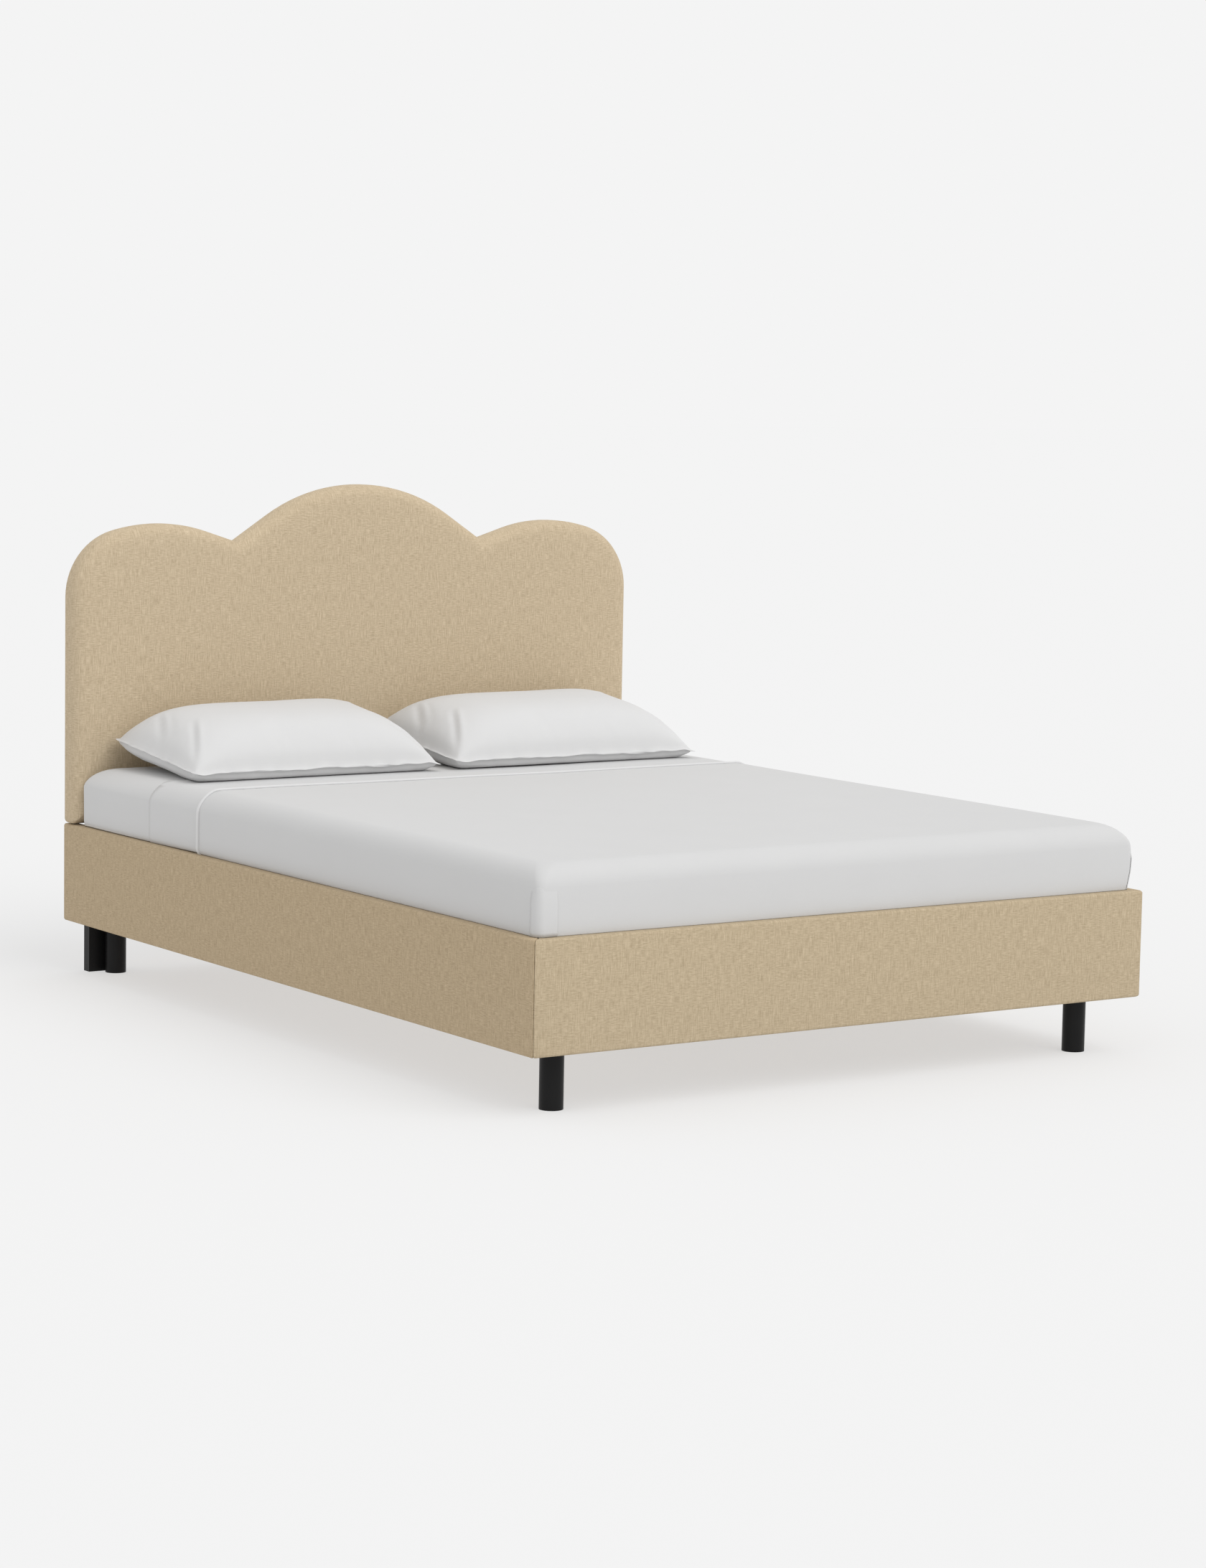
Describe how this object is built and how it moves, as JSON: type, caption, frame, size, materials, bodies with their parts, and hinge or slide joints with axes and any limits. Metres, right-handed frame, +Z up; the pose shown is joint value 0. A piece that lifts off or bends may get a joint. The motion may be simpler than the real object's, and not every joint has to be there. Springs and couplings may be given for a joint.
{
  "type": "upholstered headboard bed",
  "caption": "Low platform bed with a linen-covered scalloped headboard, upholstered rails and black legs, made up with a mattress, white bedding and pillows.",
  "frame": {"origin": "on the floor, under the middle of the bed's overall box", "axes": "+X across the bed to the right when standing at the foot and looking at the headboard, +Y along the bed to the head end, +Z up"},
  "size_m": [1.628, 2.14, 1.2],
  "materials": {
    "upholstery_fabric": "matte",
    "upholstery_foam": "matte",
    "dust_cover": "matte",
    "frame_timber": "matte",
    "plywood": "matte",
    "slat_timber": "satin",
    "black_painted_wood": "satin",
    "black_steel": "satin",
    "zinc_steel": "satin",
    "screw_steel": "satin",
    "glide_plastic": "matte",
    "mattress_ticking": "matte",
    "fitted_sheet_cotton": "matte",
    "top_sheet_cotton": "matte",
    "coverlet_cotton": "matte",
    "pillowcase_cotton": "matte",
    "pillow_ticking": "matte"
  },
  "bodies": {
    "bed": {"beam_hanger_foot": "black_steel", "beam_hanger_head": "black_steel", "cleat_left": "frame_timber", "cleat_right": "frame_timber", "corner_blocks": "frame_timber", "corner_brackets": "black_steel", "foot_leg_left": "black_painted_wood", "foot_leg_right": "black_painted_wood", "foot_rail_board": "frame_timber", "foot_rail_cover": "upholstery_fabric", "foot_rail_foam": "upholstery_foam", "frame_bolts": "zinc_steel", "head_leg_left": "black_painted_wood", "head_leg_right": "black_painted_wood", "head_rail": "frame_timber", "headboard_back_cover": "dust_cover", "headboard_batten_high": "frame_timber", "headboard_batten_low": "frame_timber", "headboard_cover": "upholstery_fabric", "headboard_edge_frame": "frame_timber", "headboard_foam": "upholstery_foam", "headboard_panel": "plywood", "headboard_post_left": "black_painted_wood", "headboard_post_right": "black_painted_wood", "leg_bolts": "zinc_steel", "middle_beam": "frame_timber", "middle_leg_1": "black_painted_wood", "middle_leg_2": "black_painted_wood", "middle_leg_3": "black_painted_wood", "side_rail_board_left": "frame_timber", "side_rail_board_right": "frame_timber", "side_rail_cover_left": "upholstery_fabric", "side_rail_cover_right": "upholstery_fabric", "side_rail_foam_left": "upholstery_foam", "side_rail_foam_right": "upholstery_foam", "slat_1": "slat_timber", "slat_10": "slat_timber", "slat_11": "slat_timber", "slat_12": "slat_timber", "slat_2": "slat_timber", "slat_3": "slat_timber", "slat_4": "slat_timber", "slat_5": "slat_timber", "slat_6": "slat_timber", "slat_7": "slat_timber", "slat_8": "slat_timber", "slat_9": "slat_timber", "wood_screws": "screw_steel"},
    "mattress": {"mattress": "mattress_ticking", "fitted_sheet": "fitted_sheet_cotton", "top_sheet": "top_sheet_cotton", "coverlet": "coverlet_cotton"},
    "pillow_left": {"pillow_left": "pillow_ticking", "pillowcase_left": "pillowcase_cotton"},
    "pillow_right": {"pillow_right": "pillow_ticking", "pillowcase_right": "pillowcase_cotton"},
    "glide_1": {"glide_1": "glide_plastic"},
    "glide_2": {"glide_2": "glide_plastic"},
    "glide_3": {"glide_3": "glide_plastic"}
  },
  "joints": [
    {"name": "mattress_lift", "type": "slide", "parent": "bed", "child": "mattress", "axis": [0, 0, 1], "range_m": [0, 0.3]},
    {"name": "pillow_left_lift", "type": "slide", "parent": "mattress", "child": "pillow_left", "axis": [0, 0, 1], "range_m": [0, 0.25]},
    {"name": "pillow_right_lift", "type": "slide", "parent": "mattress", "child": "pillow_right", "axis": [0, 0, 1], "range_m": [0, 0.25]},
    {"name": "glide_1_level", "type": "slide", "parent": "bed", "child": "glide_1", "axis": [0, 0, 1], "range_m": [0, 0.012]},
    {"name": "glide_2_level", "type": "slide", "parent": "bed", "child": "glide_2", "axis": [0, 0, 1], "range_m": [0, 0.012]},
    {"name": "glide_3_level", "type": "slide", "parent": "bed", "child": "glide_3", "axis": [0, 0, 1], "range_m": [0, 0.012]}
  ]
}
